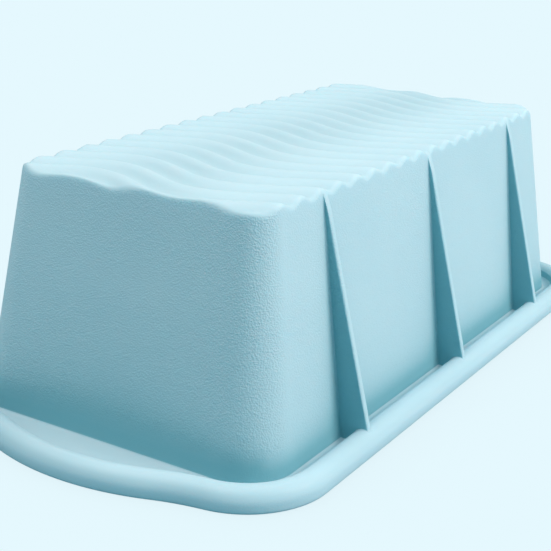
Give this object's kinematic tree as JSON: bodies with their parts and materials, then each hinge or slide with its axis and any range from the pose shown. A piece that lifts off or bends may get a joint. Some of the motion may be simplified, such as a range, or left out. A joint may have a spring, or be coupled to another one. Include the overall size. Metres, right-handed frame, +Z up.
{
  "type": "silicone loaf mould",
  "caption": "Tapered silicone loaf mould for soap, stood upside down on its beaded rim, with a corrugated base, gusset ribs up the long sides and bowed handles at the ends.",
  "frame": {"origin": "centre of the rim face, on the plane that the upturned mould rests on", "axes": "+X along the length, +Y across the width, +Z up from the rim to the corrugated base; the mouth of the cavity opens towards -Z"},
  "size_m": [0.2564, 0.1264, 0.0729],
  "materials": {
    "silicone": "pale aqua translucent silicone, satin rim and base, fine pebbled grain on the walls",
    "steel_wire": "drawn spring-steel wire"
  },
  "bodies": {
    "root": {"corner_wall_back_left": "silicone", "corner_wall_back_right": "silicone", "corner_wall_front_left": "silicone", "corner_wall_front_right": "silicone", "corrugated_base": "silicone", "end_wall_left": "silicone", "end_wall_right": "silicone", "handle_bead_left": "silicone", "handle_bead_right": "silicone", "handle_web_left": "silicone", "handle_web_right": "silicone", "rim_bead_back": "silicone", "rim_bead_back_left": "silicone", "rim_bead_back_right": "silicone", "rim_bead_front": "silicone", "rim_bead_front_left": "silicone", "rim_bead_front_right": "silicone", "rim_flange_back": "silicone", "rim_flange_back_left": "silicone", "rim_flange_back_right": "silicone", "rim_flange_front": "silicone", "rim_flange_front_left": "silicone", "rim_flange_front_right": "silicone", "rim_wire": "steel_wire", "side_rib_back_1": "silicone", "side_rib_back_2": "silicone", "side_rib_back_3": "silicone", "side_rib_front_1": "silicone", "side_rib_front_2": "silicone", "side_rib_front_3": "silicone", "side_wall_back": "silicone", "side_wall_front": "silicone"}
  },
  "joints": []
}
